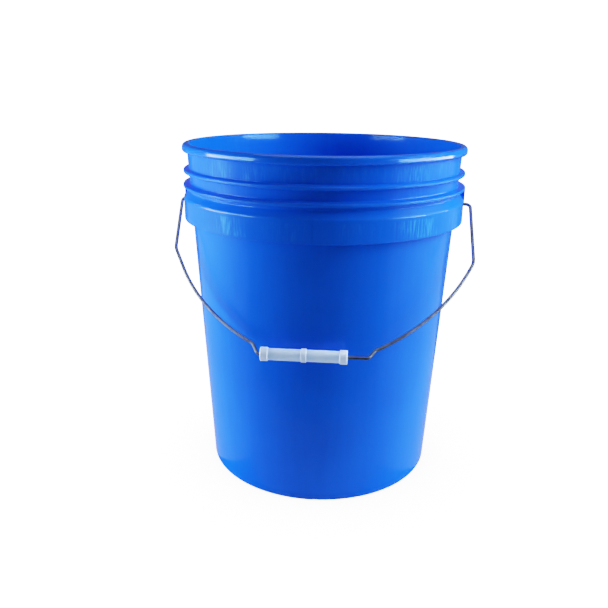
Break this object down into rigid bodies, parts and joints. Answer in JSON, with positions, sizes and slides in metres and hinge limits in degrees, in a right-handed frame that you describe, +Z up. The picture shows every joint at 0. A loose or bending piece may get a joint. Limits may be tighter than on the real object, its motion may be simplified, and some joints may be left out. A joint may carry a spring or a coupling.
{
  "type": "plastic fermenting bucket",
  "caption": "Open-head tapered plastic pail with a rolled rim, finned neck, hollow skirt band and a swinging wire bail with a sliding tube grip.",
  "frame": {"origin": "on the pail's own axis, at the level of the foot it stands on", "axes": "+Z up along the pail's axis; X along the line through the two ears, which is the bail's pivot line; the bail hangs towards -Y at rest"},
  "size_m": [0.3261, 0.3072, 0.3683],
  "materials": {
    "blue_plastic": "satin",
    "bail_steel": "satin",
    "white_plastic": "satin"
  },
  "bodies": {
    "bucket": {"bucket_body": "blue_plastic"},
    "bail": {"bail_wire": "bail_steel"},
    "grip": {"bail_grip": "white_plastic"}
  },
  "joints": [
    {"name": "bail_swing", "type": "hinge", "parent": "bucket", "child": "bail", "pos_m": [0, 0, 0.304], "axis": [-1, 0, 0], "range_deg": [0, 262]},
    {"name": "grip_slide", "type": "slide", "parent": "bail", "child": "grip", "axis": [1, 0, 0], "range_m": [0, 0.018]}
  ]
}
